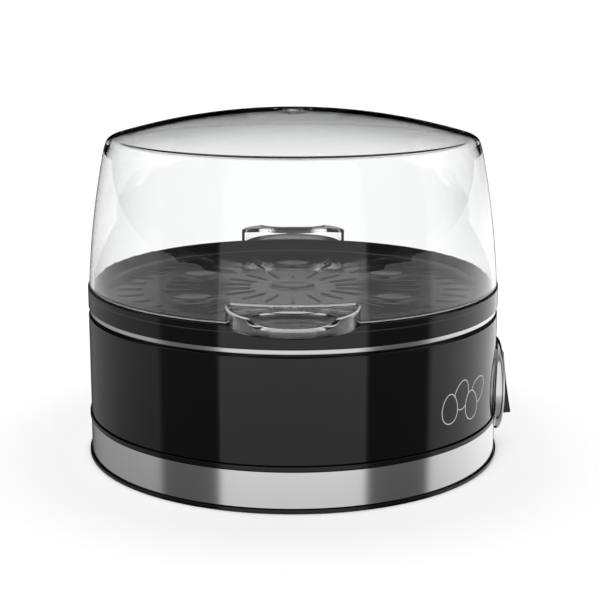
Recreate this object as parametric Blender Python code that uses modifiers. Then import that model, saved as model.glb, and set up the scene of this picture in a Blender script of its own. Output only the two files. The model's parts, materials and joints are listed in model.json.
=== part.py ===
"""Electric egg cooker for seven eggs, as an assembly of separate pieces.

Frame: the body's axis is the Z axis, z = 0 is the surface that it stands on, the front is -Y and the
switch is on the +X side. Every size below is in millimetres, and MM turns it into Blender's metres.
"""

import math

import bmesh
import bpy
from mathutils import Matrix

MM = 0.001
WELD = 0.00001

# Driving dimensions, in millimetres.
GAP = 0.3                 # clearance between pieces that touch
RING_STEPS = 40           # facets round a large turned piece
SMALL_STEPS = 16          # facets round a small turned piece

BODY_R = 95.0             # gloss body, tray skirt
FOOT_R = 96.2             # foot ring, the widest turned piece
FOOT_BOTTOM = 0.1
FOOT_TOP = 1.8
COVER_BOTTOM = 2.5        # underside of the bottom plate
COVER_TOP = 4.5
COVER_R = 94.0
BAND_R = 95.2
BAND_TOP = 17.9
TRIM_R = 95.7
TRIM_TOP = 20.3
SKIN_R = 94.7             # inside of the steel band and the trim ring
CORE_R = 94.4             # housing wall behind them
WALL_R = 92.2             # inside of the housing wall
BODY_TOP = 66.9
LEDGE_R = 85.0            # inner edge of the housing's ledge
LEDGE_BOTTOM = 64.4

BOWL_R = 84.0             # outside of the pan's wall
BOWL_FLOOR = 58.0         # underside of the pan's floor
BOWL_RIM_R = 92.0
BOWL_RIM_TOP = 72.0
SHEET = 0.8               # steel sheet

TRAY_BOTTOM = 69.85
TRAY_FLOOR = 76.0
TRAY_SEAT = 79.5          # ledge that the lid stands on
TRAY_LIP_R = 91.6
TRAY_LIP_TOP = 82.0
SEAT_RING_R = 52.0        # pitch circle of the six outer egg seats
SEAT_R = 10.0
SEAT_DEPTH = 1.0
STEAM_HOLE_R = 1.8

GRIP_Y = 89.0             # centre of the D-shaped ears and of the lid's grips
EAR_R = 25.3
EAR_BOTTOM = 79.0
EAR_TOP = 81.0
GRIP_R = 27.4
GRIP_WALL = 1.8
GRIP_TOP = 87.0
SCOOP_Y = 111.0           # centre of the finger scoop in each grip
SCOOP_HALF = (17.2, 11.0, 3.4)

LID_R = 94.4
LID_BOTTOM = 79.8
LID_LEAN = 0.056          # the wall leans in by this much for each millimetre of height,
LID_BOW = 0.00126         # and by this much for its square
LID_SHOULDER = 146.0
LID_APEX = 158.8
DOME_R = 293.0
LID_WALL = 2.0
VENT_R = 2.5

SWITCH_Z = 29.5           # height of the rocker's pivot and of the bezel's centre
PIVOT_X = 89.0
BEZEL_R = 22.0
BEZEL_FACE = 97.7
BEZEL_BACK_R = 96.0
MOUTH_HALF = (8.6, 17.4)  # half width and half height of the opening for the rocker
COLLAR_HALF = (10.0, 18.6)
SWITCH_BACK = 68.0
SWITCH_FRONT = 91.3
POCKET_BACK = 83.0
POCKET_HALF = (8.3, 17.1)
ROCKER_HALF = 8.0
ROCKER_TILT = 10.0        # degrees to each side of the middle
PIN_R = 1.2

BOSS_R = 89.5             # pitch circle of the bottom screws
BOSS_ANGLES = (60, 120, 240, 300)
PAD_R = 80.0
PAD_ANGLES = (30, 150, 210, 330)
GLAND_Z = 30.0
STUD_R = 35.0
STUD_ANGLES = (90, 210, 330)
ELEMENT_R = 50.0
ELEMENT_Z = 50.6
ELEMENT_TUBE = 3.3
WIRE = 1.2


def clear_scene():
    """Removes whatever the file holds."""
    for item in list(bpy.data.objects):
        bpy.data.objects.remove(item, do_unlink=True)


def new_collection(name):
    """Makes a collection in the scene."""
    made = bpy.data.collections.new(name)
    bpy.context.scene.collection.children.link(made)
    return made


clear_scene()
PARTS = new_collection("egg_cooker")
CUTTERS = new_collection("cutters")


def material(name, colour, roughness, metallic=0.0):
    """A Principled material with one colour, roughness and metallic value."""
    made = bpy.data.materials.new(name)
    made.use_nodes = True
    shader = made.node_tree.nodes["Principled BSDF"]
    shader.inputs["Base Color"].default_value = (*colour, 1.0)
    shader.inputs["Roughness"].default_value = roughness
    shader.inputs["Metallic"].default_value = metallic
    return made


def add_object(name, mesh, finish=None):
    """Links a mesh as a part, or as a hidden tool when it has no finish."""
    item = bpy.data.objects.new(name, mesh)
    if finish:
        mesh.materials.append(finish)
        PARTS.objects.link(item)
        return item
    CUTTERS.objects.link(item)
    item.hide_render = True
    item.display_type = 'WIRE'
    return item


def polar(radius, degrees):
    """The x and y of a point at this radius and angle."""
    angle = math.radians(degrees)
    return radius * math.cos(angle), radius * math.sin(angle)


def corner(points, index, radius, steps=4):
    """Rounds one corner of an open outline with an arc of the given radius."""
    (ax, ay), (bx, by), (cx, cy) = points[index - 1:index + 2]
    to_a = math.atan2(ay - by, ax - bx)
    to_c = math.atan2(cy - by, cx - bx)
    turn = (to_c - to_a + math.pi) % (2 * math.pi) - math.pi
    middle = to_a + turn / 2
    reach = radius / math.sin(abs(turn) / 2)
    centre = (bx + reach * math.cos(middle), by + reach * math.sin(middle))
    side = math.copysign(1, turn)
    start = to_a - side * math.pi / 2
    sweep = -side * (math.pi - abs(turn))
    arc = [
        (centre[0] + radius * math.cos(start + sweep * step / steps),
         centre[1] + radius * math.sin(start + sweep * step / steps))
        for step in range(steps + 1)
    ]
    return points[:index] + arc + points[index + 1:]


def turned(name, profile, finish=None, steps=RING_STEPS, ring=False):
    """Turns a profile of (radius, height) points about Z. A ring's profile closes on itself."""
    count = len(profile)
    edges = [(point, (point + 1) % count) for point in range(count if ring else count - 1)]
    mesh = bpy.data.meshes.new(name)
    mesh.from_pydata([(radius * MM, 0.0, height * MM) for radius, height in profile], edges, [])
    item = add_object(name, mesh, finish)
    screw = item.modifiers.new("turn", 'SCREW')
    screw.axis = 'Z'
    screw.angle = 2 * math.pi
    screw.steps = steps
    screw.render_steps = steps
    screw.use_merge_vertices = True
    screw.merge_threshold = WELD
    weld = item.modifiers.new("close_axis", 'WELD')
    weld.merge_threshold = WELD
    return item


def place(item, location=(0, 0, 0), axis='Z'):
    """Puts a piece made along Z at a place, turned to point along +X, +Y or +Z."""
    turns = {'X': (0, math.pi / 2, 0), 'Y': (-math.pi / 2, 0, 0), 'Z': (0, 0, 0)}
    item.rotation_euler = turns[axis]
    item.location = [value * MM for value in location]
    return item


def round_bar(name, radius, low, high, finish=None, steps=SMALL_STEPS):
    """A solid cylinder along Z from one height to another, about its own origin."""
    mesh = bpy.data.meshes.new(name)
    shape = bmesh.new()
    bmesh.ops.create_cone(
        shape, cap_ends=True, segments=steps, radius1=radius * MM, radius2=radius * MM,
        depth=(high - low) * MM, matrix=Matrix.Translation((0, 0, (high + low) / 2 * MM)),
    )
    shape.to_mesh(mesh)
    shape.free()
    mesh.shade_smooth()
    mesh.set_sharp_from_angle(angle=math.radians(40))
    return add_object(name, mesh, finish)


def block(name, low, high, finish=None, bevel=0.0):
    """A box between two corners, with its edges rounded when a bevel is given."""
    mesh = bpy.data.meshes.new(name)
    shape = bmesh.new()
    bmesh.ops.create_cube(shape, size=1.0)
    size = [(top - bottom) * MM for bottom, top in zip(low, high)]
    bmesh.ops.scale(shape, vec=size, verts=shape.verts)
    shape.to_mesh(mesh)
    shape.free()
    item = add_object(name, mesh, finish)
    item.location = [(bottom + top) / 2 * MM for bottom, top in zip(low, high)]
    if bevel:
        rounding = item.modifiers.new("edges", 'BEVEL')
        rounding.width = bevel * MM
        rounding.segments = 2
    return item


def plate(name, outline, thickness, finish=None):
    """A flat outline of (x, y) points, extruded evenly to both sides of z = 0."""
    curve = bpy.data.curves.new(name, 'CURVE')
    curve.dimensions = '2D'
    curve.fill_mode = 'BOTH'
    curve.extrude = thickness / 2 * MM
    spline = curve.splines.new('POLY')
    spline.points.add(len(outline) - 1)
    for point, (x, y) in zip(spline.points, outline):
        point.co = (x * MM, y * MM, 0.0, 1.0)
    spline.use_cyclic_u = True
    return meshed(name, curve, finish)


def wire(name, points, radius, finish, resolution=2):
    """A round tube with closed ends along a list of points."""
    curve = bpy.data.curves.new(name, 'CURVE')
    curve.dimensions = '3D'
    curve.bevel_depth = radius * MM
    curve.bevel_resolution = resolution
    curve.use_fill_caps = True
    spline = curve.splines.new('POLY')
    spline.points.add(len(points) - 1)
    for point, place_mm in zip(spline.points, points):
        point.co = (*[value * MM for value in place_mm], 1.0)
    return meshed(name, curve, finish)


def meshed(name, curve, finish):
    """Turns a curve into a welded mesh object."""
    guide = bpy.data.objects.new(name + "_guide", curve)
    CUTTERS.objects.link(guide)
    bpy.context.view_layer.update()
    evaluated = guide.evaluated_get(bpy.context.evaluated_depsgraph_get())
    mesh = bpy.data.meshes.new_from_object(evaluated)
    mesh.name = name
    matrix = guide.matrix_world.copy()
    bpy.data.objects.remove(guide, do_unlink=True)
    shape = bmesh.new()
    shape.from_mesh(mesh)
    bmesh.ops.remove_doubles(shape, verts=shape.verts, dist=WELD)
    shape.to_mesh(mesh)
    shape.free()
    item = add_object(name, mesh, finish)
    item.matrix_world = matrix
    return item


def smooth_route(points, steps=3):
    """A Catmull-Rom curve through a wire's own points."""
    padded = [points[0], *points, points[-1]]
    route = []
    for index in range(1, len(padded) - 2):
        before, start, end, after = padded[index - 1:index + 3]
        for step in range(steps):
            t = step / steps
            route.append(tuple(
                0.5 * (2 * b + (c - a) * t + (2 * a - 5 * b + 4 * c - d) * t ** 2
                       + (3 * b - a - 3 * c + d) * t ** 3)
                for a, b, c, d in zip(before, start, end, after)
            ))
    route.append(points[-1])
    return route


def join(target, other, operation):
    """Adds a Boolean of another object to a part."""
    boolean = target.modifiers.new(other.name, 'BOOLEAN')
    boolean.operation = operation
    boolean.solver = 'EXACT'
    boolean.object = other
    return target


def cut(target, *tools):
    """Subtracts each tool from a part."""
    for tool in tools:
        join(target, tool, 'DIFFERENCE')
    return target


def add(target, *tools):
    """Unites a part with each tool."""
    for tool in tools:
        join(target, tool, 'UNION')
    return target


def d_outline(radius, chord_y, side, steps=14):
    """The part of a grip's circle that lies beyond a chord, on the front (-1) or the rear (1)."""
    start = math.asin((chord_y - GRIP_Y) / radius)
    angles = [start + (math.pi - 2 * start) * step / steps for step in range(steps + 1)]
    outline = [(radius * math.cos(angle), GRIP_Y + radius * math.sin(angle)) for angle in angles]
    return [(side * x, side * y) for x, y in outline]


def d_block(name, radius, chord_y, side, low, high):
    """A D-shaped solid between two heights."""
    item = plate(name, d_outline(radius, chord_y, side), high - low)
    item.location.z = (high + low) / 2 * MM
    return item


def ellipsoid(name, centre, half):
    """An ellipsoid with the given half lengths."""
    mesh = bpy.data.meshes.new(name)
    shape = bmesh.new()
    bmesh.ops.create_uvsphere(shape, u_segments=20, v_segments=10, radius=MM)
    bmesh.ops.scale(shape, vec=half, verts=shape.verts)
    shape.to_mesh(mesh)
    shape.free()
    return place(add_object(name, mesh), centre)


# Finishes.
GLOSS = material("gloss_black", (0.008, 0.008, 0.009), 0.08)
BLACK = material("black_plastic", (0.012, 0.012, 0.013), 0.35)
CLEAR = material("clear_plastic", (0.9, 0.92, 0.92), 0.02)
STEEL = material("brushed_steel", (0.55, 0.55, 0.55), 0.32, 1.0)
POLISHED = material("polished_steel", (0.7, 0.7, 0.7), 0.12, 1.0)
SATIN = material("satin_silver", (0.6, 0.6, 0.61), 0.28, 1.0)
CAST = material("cast_aluminium", (0.5, 0.5, 0.5), 0.5, 1.0)
RUBBER = material("black_rubber", (0.02, 0.02, 0.02), 0.8)
SILICONE = material("red_silicone", (0.45, 0.12, 0.08), 0.6)
CERAMIC = material("white_ceramic", (0.75, 0.73, 0.68), 0.5)
BRASS = material("brass", (0.7, 0.55, 0.25), 0.3, 1.0)
SLEEVE = material("white_sleeve", (0.7, 0.7, 0.68), 0.6)


# Base.

def make_bottom_cover():
    """The bottom plate: a disc, with the foot ring round its edge and four screw holes."""
    ring_inner = 93.4
    cover = turned("bottom_cover", [
        (0, COVER_TOP), (COVER_R, COVER_TOP), (COVER_R, FOOT_TOP), (FOOT_R, FOOT_TOP),
        (FOOT_R, FOOT_BOTTOM), (ring_inner, FOOT_BOTTOM), (ring_inner, COVER_BOTTOM),
        (0, COVER_BOTTOM),
    ], BLACK)
    for number, angle in enumerate(BOSS_ANGLES, 1):
        x, y = polar(BOSS_R, angle)
        hole = round_bar(f"cover_hole_{number}", 2.1, COVER_BOTTOM - 3, COVER_TOP + 3, steps=12)
        cut(cover, place(hole, (x, y, 0)))


def make_foot_pads():
    """Five rubber pads whose undersides are the resting surface, z = 0."""
    thickness = COVER_BOTTOM - GAP
    round_bar("centre_foot_pad", 20.0, 0.0, thickness, RUBBER, steps=24)
    for number, angle in enumerate(PAD_ANGLES, 1):
        pad = round_bar(f"foot_pad_{number}", 8.0, 0.0, thickness, RUBBER)
        x, y = polar(PAD_R, angle)
        place(pad, (x, y, 0))


def make_bottom_screws():
    """Four pan-head screws, from under the plate up into the housing's bosses."""
    head_top = COVER_BOTTOM - GAP
    head_bottom = 0.7
    for number, angle in enumerate(BOSS_ANGLES, 1):
        screw = turned(f"bottom_screw_{number}", [
            (0, 16.0), (1.0, 16.0), (1.5, 15.0), (1.5, head_top), (3.5, head_top),
            (3.5, 1.3), (2.6, head_bottom), (0, head_bottom),
        ], SATIN, steps=12)
        x, y = polar(BOSS_R, angle)
        place(screw, (x, y, 0))


def switch_opening(name):
    """The hole that the bezel's collar passes through."""
    half_y, half_z = [value + GAP for value in COLLAR_HALF]
    return block(name, (80, -half_y, SWITCH_Z - half_z), (105, half_y, SWITCH_Z + half_z))


def make_steel_band():
    """The brushed band, notched for the switch."""
    band = turned("steel_band", [
        (SKIN_R, BAND_TOP), (BAND_R, BAND_TOP), (BAND_R, FOOT_TOP + GAP), (SKIN_R, FOOT_TOP + GAP),
    ], STEEL, ring=True)
    cut(band, switch_opening("band_notch"))


def make_trim_ring():
    """The black ring above the band, open where the switch passes through it."""
    trim = turned("trim_ring", [
        (SKIN_R, TRIM_TOP), (TRIM_R - 0.3, TRIM_TOP), (TRIM_R, TRIM_TOP - 0.3),
        (TRIM_R, BAND_TOP + GAP + 0.3), (TRIM_R - 0.3, BAND_TOP + GAP), (SKIN_R, BAND_TOP + GAP),
    ], BLACK, ring=True)
    cut(trim, switch_opening("trim_gap"))


def make_upper_housing():
    """The gloss shell: outer wall, ledge with a groove for the seal, and four screw bosses."""
    step = TRIM_TOP + GAP
    foot = COVER_TOP + GAP
    profile = [
        (LEDGE_R, BODY_TOP), (87.0, BODY_TOP), (87.0, BODY_TOP - 1.3), (89.5, BODY_TOP - 1.3),
        (89.5, BODY_TOP), (BODY_R, BODY_TOP), (BODY_R, step), (CORE_R, step), (CORE_R, foot),
        (WALL_R, foot), (WALL_R, LEDGE_BOTTOM), (LEDGE_R, LEDGE_BOTTOM),
    ]
    housing = turned("upper_housing", corner(profile, 5, 1.0, 2), GLOSS, ring=True)
    for number, angle in enumerate(BOSS_ANGLES, 1):
        x, y = polar(BOSS_R, angle)
        boss = place(round_bar(f"boss_{number}", 4.5, foot, LEDGE_BOTTOM + 1, steps=12), (x, y, 0))
        add(housing, boss)
    for number, angle in enumerate(BOSS_ANGLES, 1):
        x, y = polar(BOSS_R, angle)
        pilot = place(round_bar(f"pilot_{number}", 1.8, foot - 3, 18.0, steps=12), (x, y, 0))
        cut(housing, pilot)
    gland_hole = round_bar("gland_hole", 6.3, 80.0, 100.0)
    cut(housing, switch_opening("housing_opening"), place(gland_hole, (0, 0, GLAND_Z), 'Y'))


def make_bowl_seal():
    """The silicone ring in the ledge's groove."""
    low, high = BODY_TOP - 1.0, BODY_TOP
    turned("bowl_seal", [(87.3, high), (89.2, high), (89.2, low), (87.3, low)], SILICONE, ring=True)


def make_heating_bowl():
    """The pressed pan: floor, wall, flange on the ledge, and the upright rim that carries the tray."""
    flange = BODY_TOP + GAP
    inner_floor = BOWL_FLOOR + SHEET
    outline = [
        (0, inner_floor), (BOWL_R - SHEET, inner_floor), (BOWL_R - SHEET, flange + SHEET),
        (BOWL_RIM_R - SHEET, flange + SHEET), (BOWL_RIM_R - SHEET, BOWL_RIM_TOP),
        (BOWL_RIM_R, BOWL_RIM_TOP), (BOWL_RIM_R, flange), (BOWL_R, flange),
        (BOWL_R, BOWL_FLOOR), (0, BOWL_FLOOR),
    ]
    outline = corner(outline, 8, 5.0, 3)
    turned("heating_bowl", corner(outline, 1, 4.2, 3), POLISHED)


def make_heater_plate():
    """The cast plate under the pan, with three studs that carry the shield."""
    top = BOWL_FLOOR - GAP
    plate_bottom = top - 3.5
    heater = turned("heater_plate", [(0, top), (58, top), (58, plate_bottom), (0, plate_bottom)],
                    CAST, steps=36)
    for number, angle in enumerate(STUD_ANGLES, 1):
        x, y = polar(STUD_R, angle)
        stud = round_bar(f"stud_{number}", 2.2, 36.0, plate_bottom + 1, steps=12)
        add(heater, place(stud, (x, y, 0)))


def make_heating_element():
    """The ring element, open towards the switch where its ends are wired."""
    first, last, count = 22, 338, 24
    points = []
    for step in range(count + 1):
        x, y = polar(ELEMENT_R, first + (last - first) * step / count)
        points.append((x, y, ELEMENT_Z))
    wire("heating_element", points, ELEMENT_TUBE, SATIN)


def make_heat_shield():
    """The reflector dish under the element, with its three stud nuts."""
    low, rim = 40.5, 46.0
    radius = 66.8
    shield = turned("heat_shield", [
        (0, low + SHEET), (radius - SHEET, low + SHEET), (radius - SHEET, rim), (radius, rim),
        (radius, low), (0, low),
    ], POLISHED, steps=36)
    for number, angle in enumerate(STUD_ANGLES, 1):
        x, y = polar(STUD_R, angle)
        cut(shield, place(round_bar(f"stud_hole_{number}", 2.6, low - 3, low + 4, steps=12), (x, y, 0)))
        nut = round_bar(f"shield_nut_{number}", 4.2, low - GAP - 3.0, low - GAP, BRASS, steps=6)
        bore = place(round_bar(f"nut_bore_{number}", 2.5, low - 8, low + 4, steps=12), (x, y, 0))
        cut(place(nut, (x, y, 0)), bore)


def make_thermostat():
    """The bimetal thermostat under the middle of the plate, with its two fixing ears."""
    top = BOWL_FLOOR - 3.5 - 2 * GAP
    body = round_bar("thermostat", 8.5, top - 9, top, CERAMIC)
    add(body, block("thermostat_ears", (-13, -4, top - 1.5), (13, 4, top - 0.3)))


def make_thermal_fuse():
    """The thermal fuse in its sleeve, beside the thermostat."""
    fuse = round_bar("thermal_fuse", 2.0, -9, 9, SLEEVE, steps=12)
    place(fuse, (-22, 0, 51.6), 'Y')


def make_terminal_block():
    """The ceramic block on the bottom plate where the mains lead is joined."""
    block("terminal_block", (-16, 34, COVER_TOP + GAP), (16, 48, 20.0), CERAMIC, bevel=0.8)


def make_leads():
    """The internal wires, held at both ends."""
    routes = {
        "lead_supply": [(0, 87.5, 30), (-2, 76, 28), (-6, 62, 20), (-9, 53, 14), (-9, 49.6, 12)],
        "lead_switch": [(8, 49.6, 12), (14, 56, 12), (34, 58, 18), (48, 36, 26), (53, 14, 33.5),
                        (56.5, 3, 36.5)],
        "lead_live": [(56.5, -3, 22.5), (52, -14, 24), (62, -30, 34), (70, -30, 47), (60, -24, 51),
                      (52, -20.6, 51)],
        "lead_neutral": [(12, 32.7, 12), (24, 22, 16), (56, 24, 30), (70, 27, 46), (62, 25, 51),
                         (52, 20.6, 51)],
    }
    for name, points in routes.items():
        wire(name, smooth_route(points), WIRE, SLEEVE)


def make_cord_gland():
    """The rubber bushing in the rear wall, along +Y, open for the mains lead."""
    gland = turned("cord_gland", [
        (3.3, 99.0), (5.6, 99.0), (7.0, 97.8), (8.4, 97.0), (8.4, BODY_R + GAP + 0.1),
        (6.0, BODY_R + GAP + 0.1), (6.0, 91.4), (7.6, 91.4), (7.6, 89.0), (3.3, 89.0),
    ], RUBBER, steps=SMALL_STEPS, ring=True)
    place(gland, (0, 0, GLAND_Z), 'Y')


# Switch.

def make_switch_bezel():
    """The silver disc on the body's side, with the collar that reaches in to the switch."""
    edge = 1.2
    bezel = turned("switch_bezel", [
        (0, BEZEL_FACE), (BEZEL_R - edge, BEZEL_FACE), (BEZEL_R, BEZEL_FACE - edge), (BEZEL_R, 90),
        (0, 90),
    ], SATIN, steps=40)
    place(bezel, (0, 0, SWITCH_Z), 'X')
    body = round_bar("bezel_back", BEZEL_BACK_R, -20, 80, steps=96)
    half_y, half_z = COLLAR_HALF
    collar = block("bezel_collar", (SWITCH_FRONT + GAP, -half_y, SWITCH_Z - half_z),
                   (BEZEL_FACE - 0.8, half_y, SWITCH_Z + half_z))
    half_y, half_z = MOUTH_HALF
    mouth = block("bezel_mouth", (80, -half_y, SWITCH_Z - half_z), (105, half_y, SWITCH_Z + half_z))
    cut(add(cut(bezel, body), collar), mouth)


def make_switch_body():
    """The switch's moulded case: an open pocket for the rocker, and holes for its pin."""
    half_y, half_z = COLLAR_HALF
    case = block("switch_body", (SWITCH_BACK, -half_y, SWITCH_Z - half_z),
                 (SWITCH_FRONT, half_y, SWITCH_Z + half_z), BLACK)
    half_y, half_z = POCKET_HALF
    pocket = block("switch_pocket", (POCKET_BACK, -half_y, SWITCH_Z - half_z),
                   (95, half_y, SWITCH_Z + half_z))
    pin_hole = round_bar("pin_hole", PIN_R + GAP, -9.5, 9.5, steps=12)
    cut(case, pocket, place(pin_hole, (PIVOT_X, 0, SWITCH_Z), 'Y'))


def make_rocker():
    """The black rocker, tilted with its lower end out, about the pin's axis."""
    outline = [(11.4, 15.0), (11.4, -15.0), (7.5, -14.5), (0.5, -6.0), (-3.0, -2.5),
               (-3.0, 2.5), (0.5, 6.0), (7.5, 14.5)]
    rocker = plate("switch_rocker", outline, 2 * ROCKER_HALF, BLACK)
    upright = Matrix.Rotation(math.pi / 2, 4, 'X')
    tilt = Matrix.Rotation(math.radians(-ROCKER_TILT), 4, 'Y')
    rocker.matrix_world = Matrix.Translation((PIVOT_X * MM, 0, SWITCH_Z * MM)) @ tilt @ upright
    bore = round_bar("rocker_bore", PIN_R + GAP, -12, 12, steps=12)
    cut(rocker, place(bore, (PIVOT_X, 0, SWITCH_Z), 'Y'))
    place(round_bar("rocker_pin", PIN_R, -9.2, 9.2, SATIN, steps=12), (PIVOT_X, 0, SWITCH_Z), 'Y')


def make_switch_terminals():
    """The two blades at the back of the switch."""
    for number, z in enumerate((SWITCH_Z - 7, SWITCH_Z + 7), 1):
        block(f"switch_terminal_{number}", (58.0, -3.1, z - 0.4), (SWITCH_BACK - GAP, 3.1, z + 0.4), BRASS)


# Tray and lid.

def make_egg_tray():
    """The tray: floor with seven egg seats, groove that sits on the pan's rim, skirt, lip and ears."""
    under = TRAY_FLOOR - 2.0
    groove = BOWL_RIM_TOP + GAP
    outline = [
        (0, TRAY_FLOOR), (89.0, TRAY_FLOOR), (90.2, TRAY_LIP_TOP), (TRAY_LIP_R, TRAY_LIP_TOP),
        (TRAY_LIP_R, TRAY_SEAT), (BODY_R, TRAY_SEAT), (BODY_R, TRAY_BOTTOM), (93.2, TRAY_BOTTOM),
        (93.2, groove), (90.9, groove), (90.9, TRAY_BOTTOM), (89.4, TRAY_BOTTOM), (89.4, under),
        (0, under),
    ]
    tray = turned("egg_tray", corner(corner(outline, 5, 0.5, 1), 1, 3.0, 3), BLACK)
    for side, end in ((-1, "front"), (1, "rear")):
        add(tray, d_block(f"ear_{end}", EAR_R, 90.4, side, EAR_BOTTOM, EAR_TOP))
    seats = [(0.0, 0.0)] + [polar(SEAT_RING_R, 30 + 60 * step) for step in range(6)]
    for number, (x, y) in enumerate(seats, 1):
        dish = round_bar(f"seat_{number}", SEAT_R, TRAY_FLOOR - SEAT_DEPTH, TRAY_FLOOR + 5)
        hole = round_bar(f"steam_hole_{number}", STEAM_HOLE_R, under - 3, TRAY_FLOOR + 3, steps=8)
        cut(tray, place(dish, (x, y, 0)), place(hole, (x, y, 0)))


def lid_profile(inset, bottom):
    """The lid's outline from its apex down to its open edge, moved inwards by an inset."""
    apex = LID_APEX - inset
    dome = DOME_R - inset
    steps = 4

    def wall(z):
        height = z - LID_BOTTOM
        return LID_R - LID_LEAN * height - LID_BOW * height * height - inset

    def crown(radius):
        return apex - dome + math.sqrt(dome * dome - radius * radius)

    edge = wall(LID_SHOULDER) - 0.4
    points = [(edge * step / steps, crown(edge * step / steps)) for step in range(steps + 1)]
    low = LID_SHOULDER - 3
    points += [(wall(low + (bottom - low) * step / steps), low + (bottom - low) * step / steps)
               for step in range(steps + 1)]
    return corner(points, steps, 3.0 - inset / 2, 3)


def make_lid():
    """The clear lid: one thin shell with two hollow D-shaped grips, their scoops, and a vent."""
    outside = lid_profile(0.0, LID_BOTTOM)
    lid = turned("lid", outside + [(0, LID_BOTTOM)], CLEAR)
    inside = lid_profile(LID_WALL, LID_BOTTOM - 2)
    core = turned("lid_core", inside + [(0, LID_BOTTOM - 2)])
    half = [value + GRIP_WALL for value in SCOOP_HALF]
    grips = []
    hollows = []
    for side, end in ((-1, "front"), (1, "rear")):
        centre = (0, side * SCOOP_Y, GRIP_TOP)
        grip = d_block(f"grip_{end}", GRIP_R, 86.0, side, LID_BOTTOM, GRIP_TOP)
        cut(grip, ellipsoid(f"scoop_{end}", centre, SCOOP_HALF))
        grips.append(grip)
        hollow = d_block(f"hollow_{end}", GRIP_R - GRIP_WALL, 85.0, side, LID_BOTTOM - 3,
                         GRIP_TOP - GRIP_WALL)
        cut(hollow, ellipsoid(f"scoop_room_{end}", centre, half))
        hollows.append(hollow)
    cut(add(lid, *grips), core, *hollows)
    cut(lid, round_bar("vent", VENT_R, LID_APEX - 10, LID_APEX + 10, steps=16))


for make in (
    make_bottom_cover, make_foot_pads, make_bottom_screws, make_steel_band, make_trim_ring,
    make_upper_housing, make_bowl_seal, make_heating_bowl, make_heater_plate,
    make_heating_element, make_heat_shield, make_thermostat, make_thermal_fuse,
    make_terminal_block, make_leads, make_cord_gland, make_switch_bezel, make_switch_body,
    make_rocker, make_switch_terminals, make_egg_tray, make_lid,
):
    make()
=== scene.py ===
"""Looks of the electric egg cooker: fine meshes, procedural materials, floor, light and camera.

Sizes below are in millimetres, and MM turns them into Blender's metres. The outer radii and heights of
the fine pieces are read from the CAD nodes that they stand for, and the rest of each profile is given
here. The body's axis is the Z axis, the front is -Y and the switch is on the +X side.
"""

import json
import math
from functools import cache

import bmesh
import bpy
from mathutils import Matrix, Vector


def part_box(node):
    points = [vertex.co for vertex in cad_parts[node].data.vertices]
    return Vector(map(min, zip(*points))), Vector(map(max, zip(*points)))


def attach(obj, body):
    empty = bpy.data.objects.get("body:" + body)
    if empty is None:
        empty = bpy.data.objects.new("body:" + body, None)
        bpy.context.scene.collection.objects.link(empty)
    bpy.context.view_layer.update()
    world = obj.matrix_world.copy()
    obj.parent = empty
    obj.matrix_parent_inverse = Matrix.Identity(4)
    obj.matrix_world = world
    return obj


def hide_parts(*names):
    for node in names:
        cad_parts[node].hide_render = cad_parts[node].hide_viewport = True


MM = 0.001
WELD = 0.000001
FINE = 256                # facets round a large turned piece
SMALL = 64                # facets round a small one
SHARP = math.radians(35)  # edges sharper than this stay crisp
TRAY_FLOOR = 76.0
CROWN_SHADE_START = 147.0       # the lid's painted shade, a grey tint for the dark band seen through its crown, grows from nothing here to its full strength here
CROWN_SHADE_END = 158.8         # to its full strength here

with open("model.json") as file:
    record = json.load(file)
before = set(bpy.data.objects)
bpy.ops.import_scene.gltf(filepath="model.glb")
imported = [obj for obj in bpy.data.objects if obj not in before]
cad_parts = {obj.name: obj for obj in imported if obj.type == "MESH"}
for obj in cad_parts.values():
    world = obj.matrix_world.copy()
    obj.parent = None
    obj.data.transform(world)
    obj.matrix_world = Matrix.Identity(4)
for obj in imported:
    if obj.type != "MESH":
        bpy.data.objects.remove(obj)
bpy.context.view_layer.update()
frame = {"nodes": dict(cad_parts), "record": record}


# Sizes read from the frame.

@cache
def radius(node):
    """The outer radius of a turned CAD node about the body's axis, in millimetres."""
    return -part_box(node)[0].x / MM


@cache
def heights(node):
    """The lowest and highest z of a CAD node, in millimetres."""
    low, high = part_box(node)
    return low.z / MM, high.z / MM


def middle(node):
    """The middle of a CAD node's box, in millimetres."""
    low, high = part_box(node)
    return (low + high) / 2 / MM


# Meshes.

def add_mesh(name, shape):
    """Makes an object from a bmesh and links it."""
    mesh = bpy.data.meshes.new(name)
    shape.to_mesh(mesh)
    shape.free()
    item = bpy.data.objects.new(name, mesh)
    bpy.context.scene.collection.objects.link(item)
    return item


def outline(points, steps=6):
    """A closed outline from (x, y, corner radius) points, with each corner rounded by an arc."""
    made = []
    count = len(points)
    for index, (bx, by, size) in enumerate(points):
        if not size:
            made.append((bx, by))
            continue
        ax, ay, _ = points[index - 1]
        cx, cy, _ = points[(index + 1) % count]
        to_a = math.atan2(ay - by, ax - bx)
        to_c = math.atan2(cy - by, cx - bx)
        turn = (to_c - to_a + math.pi) % (2 * math.pi) - math.pi
        reach = size / math.sin(abs(turn) / 2)
        centre_x = bx + reach * math.cos(to_a + turn / 2)
        centre_y = by + reach * math.sin(to_a + turn / 2)
        side = math.copysign(1, turn)
        start = to_a - side * math.pi / 2
        sweep = -side * (math.pi - abs(turn))
        for step in range(steps + 1):
            angle = start + sweep * step / steps
            made.append((centre_x + size * math.cos(angle), centre_y + size * math.sin(angle)))
    return made


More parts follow.
